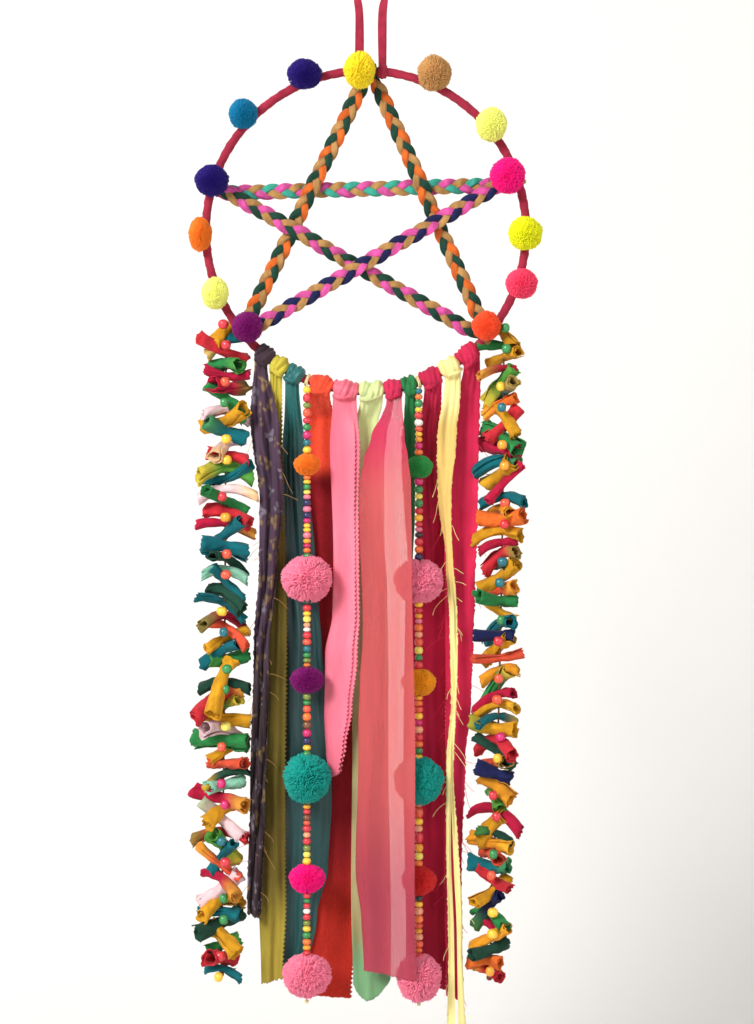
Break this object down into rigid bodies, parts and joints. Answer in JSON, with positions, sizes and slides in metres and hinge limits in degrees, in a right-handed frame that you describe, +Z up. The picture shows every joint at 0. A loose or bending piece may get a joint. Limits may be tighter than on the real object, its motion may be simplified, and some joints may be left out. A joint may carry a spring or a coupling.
{
  "type": "star dreamcatcher",
  "caption": "Cloth-wrapped hoop with a plaited star and a ring of pompoms, hung by a cloth loop, with knotted cloth strips, beaded pompom strings and scrap garlands below.",
  "frame": {"origin": "the inside of the hanging loop's top, where a nail or hook carries it", "axes": "+Z up along the hang, +X to the right seen from the front, the front faces -Y"},
  "size_m": [0.2222, 0.0394, 0.6792],
  "materials": {
    "crimson_cloth": "wound and folded cotton cloth",
    "steel_wire": "drawn steel wire",
    "plait_orange": "orange, dark green and tan yarn, plaited",
    "plait_turquoise": "turquoise, pink and tan yarn, plaited",
    "plait_pink": "pink, dark green and tan yarn, plaited",
    "plait_navy": "navy, pink and tan yarn, plaited",
    "yarn_yellow": "cut wool yarn",
    "yarn_indigo": "cut wool yarn",
    "yarn_blue": "cut wool yarn",
    "yarn_orange": "cut wool yarn",
    "yarn_neon_yellow": "cut wool yarn",
    "yarn_purple": "cut wool yarn",
    "yarn_tan": "cut wool yarn",
    "yarn_magenta": "cut wool yarn",
    "yarn_bright_yellow": "cut wool yarn",
    "yarn_coral_pink": "cut wool yarn",
    "yarn_orange_coral": "cut wool yarn",
    "yarn_pink": "cut wool yarn",
    "yarn_teal": "cut wool yarn",
    "yarn_green": "cut wool yarn",
    "yarn_amber": "cut wool yarn",
    "yarn_red": "cut wool yarn",
    "cloth_purple_floral": "printed cotton with a small floral and frayed edges",
    "cloth_olive": "cotton with pinked edges",
    "cloth_teal": "silky cloth",
    "cloth_orange_red": "felted cloth with a pinked edge",
    "satin_pink": "satin",
    "cloth_light_green": "cotton",
    "chiffon_coral": "sheer chiffon",
    "cloth_emerald": "cotton",
    "cloth_crimson": "cotton",
    "cloth_cream_yellow": "cotton, twisted",
    "cloth_raspberry": "cotton",
    "bead_mix": "small gloss beads in mixed colours on a thread",
    "scrap_mix": "rolled scraps in mixed colours on a cord"
  },
  "bodies": {
    "hanger": {"hanger_loop": "crimson_cloth"},
    "hoop": {"hoop_core": "steel_wire", "hoop_wrap": "crimson_cloth", "plait_top_to_lower_left": "plait_orange", "plait_top_to_lower_right": "plait_orange", "plait_left_to_right": "plait_turquoise", "plait_left_to_lower_right": "plait_pink", "plait_right_to_lower_left": "plait_navy", "pompom_yellow_top": "yarn_yellow", "pompom_indigo_upper": "yarn_indigo", "pompom_blue": "yarn_blue", "pompom_indigo_left": "yarn_indigo", "pompom_orange": "yarn_orange", "pompom_pale_yellow": "yarn_neon_yellow", "pompom_purple": "yarn_purple", "pompom_tan": "yarn_tan", "pompom_neon_yellow": "yarn_neon_yellow", "pompom_magenta": "yarn_magenta", "pompom_bright_yellow": "yarn_bright_yellow", "pompom_coral_pink": "yarn_coral_pink", "pompom_orange_coral": "yarn_orange_coral"},
    "cloth_purple_floral": {"knot_purple_floral": "cloth_purple_floral", "strip_purple_floral": "cloth_purple_floral"},
    "cloth_olive": {"knot_olive": "cloth_olive", "strip_olive": "cloth_olive"},
    "cloth_teal": {"knot_teal": "cloth_teal", "strip_teal": "cloth_teal"},
    "cloth_orange_red": {"knot_orange_red": "cloth_orange_red", "strip_orange_red": "cloth_orange_red"},
    "cloth_pink_satin": {"knot_pink_satin": "satin_pink", "strip_pink_satin": "satin_pink"},
    "cloth_light_green": {"knot_light_green": "cloth_light_green", "strip_light_green": "cloth_light_green"},
    "cloth_sheer_coral": {"knot_sheer_coral": "chiffon_coral", "strip_sheer_coral": "chiffon_coral"},
    "cloth_emerald": {"knot_emerald": "cloth_emerald", "strip_emerald": "cloth_emerald"},
    "cloth_crimson": {"knot_crimson": "cloth_crimson", "strip_crimson": "cloth_crimson"},
    "cloth_cream_yellow": {"knot_cream_yellow": "cloth_cream_yellow", "strip_cream_yellow": "cloth_cream_yellow"},
    "cloth_raspberry": {"knot_raspberry": "cloth_raspberry", "strip_raspberry": "cloth_raspberry"},
    "string_left": {"bead_string_left": "bead_mix", "pompom_left_small_upper": "yarn_orange", "pompom_left_large_upper": "yarn_pink", "pompom_left_small_middle": "yarn_purple", "pompom_left_large_middle": "yarn_teal", "pompom_left_small_lower": "yarn_magenta", "pompom_left_large_lower": "yarn_pink"},
    "string_right": {"bead_string_right": "bead_mix", "pompom_right_small_upper": "yarn_green", "pompom_right_large_upper": "yarn_pink", "pompom_right_small_middle": "yarn_amber", "pompom_right_large_middle": "yarn_teal", "pompom_right_small_lower": "yarn_red", "pompom_right_large_lower": "yarn_pink"},
    "scraps_left": {"garland_left": "scrap_mix"},
    "scraps_right": {"garland_right": "scrap_mix"}
  },
  "joints": [
    {"name": "hoop_swing", "type": "hinge", "parent": "hanger", "child": "hoop", "pos_m": [-0.0031, 0, -0.07], "axis": [-1, 0, 0], "range_deg": [-20, 20]},
    {"name": "purple_floral_swing", "type": "hinge", "parent": "hoop", "child": "cloth_purple_floral", "pos_m": [-0.06598, 0, -0.24776], "axis": [-0.7776, 0, 0.6288], "range_deg": [0, 25]},
    {"name": "olive_swing", "type": "hinge", "parent": "hoop", "child": "cloth_olive", "pos_m": [-0.05706, 0, -0.25419], "axis": [-0.8419, 0, 0.5396], "range_deg": [-20, 0]},
    {"name": "teal_swing", "type": "hinge", "parent": "hoop", "child": "cloth_teal", "pos_m": [-0.04749, 0, -0.25961], "axis": [-0.8961, 0, 0.444], "range_deg": [-20, 0]},
    {"name": "orange_red_swing", "type": "hinge", "parent": "hoop", "child": "cloth_orange_red", "pos_m": [-0.03074, 0, -0.26611], "axis": [-0.9611, 0, 0.2764], "range_deg": [-20, 0]},
    {"name": "pink_satin_swing", "type": "hinge", "parent": "hoop", "child": "cloth_pink_satin", "pos_m": [-0.01755, 0, -0.26895], "axis": [-0.9895, 0, 0.1445], "range_deg": [0, 12]},
    {"name": "light_green_swing", "type": "hinge", "parent": "hoop", "child": "cloth_light_green", "pos_m": [-0.0007, 0, -0.26997], "axis": [-0.9997, 0, -0.024], "range_deg": [-20, 0]},
    {"name": "sheer_coral_swing", "type": "hinge", "parent": "hoop", "child": "cloth_sheer_coral", "pos_m": [0.01382, 0, -0.26856], "axis": [-0.9856, 0, -0.1692], "range_deg": [0, 25]},
    {"name": "emerald_swing", "type": "hinge", "parent": "hoop", "child": "cloth_emerald", "pos_m": [0.02241, 0, -0.26669], "axis": [-0.9669, 0, -0.2552], "range_deg": [-20, 0]},
    {"name": "crimson_swing", "type": "hinge", "parent": "hoop", "child": "cloth_crimson", "pos_m": [0.03584, 0, -0.26211], "axis": [-0.9211, 0, -0.3894], "range_deg": [-20, 0]},
    {"name": "cream_yellow_swing", "type": "hinge", "parent": "hoop", "child": "cloth_cream_yellow", "pos_m": [0.04959, 0, -0.25499], "axis": [-0.8499, 0, -0.5269], "range_deg": [0, 25]},
    {"name": "raspberry_swing", "type": "hinge", "parent": "hoop", "child": "cloth_raspberry", "pos_m": [0.06132, 0, -0.24648], "axis": [-0.7648, 0, -0.6442], "range_deg": [-20, 0]},
    {"name": "string_left_swing", "type": "hinge", "parent": "hoop", "child": "string_left", "pos_m": [-0.03973, 0, -0.26305], "axis": [-0.9305, 0, 0.3663], "range_deg": [0, 25]},
    {"name": "string_right_swing", "type": "hinge", "parent": "hoop", "child": "string_right", "pos_m": [0.02978, 0, -0.26444], "axis": [-0.9444, 0, -0.3288], "range_deg": [0, 25]},
    {"name": "garland_left_swing", "type": "hinge", "parent": "hoop", "child": "scraps_left", "pos_m": [-0.08725, 0, -0.22403], "axis": [0, 1, 0], "range_deg": [0, 20]},
    {"name": "garland_right_swing", "type": "hinge", "parent": "hoop", "child": "scraps_right", "pos_m": [0.07967, 0, -0.22612], "axis": [0, -1, 0], "range_deg": [0, 20]}
  ],
  "couplings": [
    {"joint": "sheer_coral_swing", "follows": "string_right_swing", "ratio": 1}
  ]
}
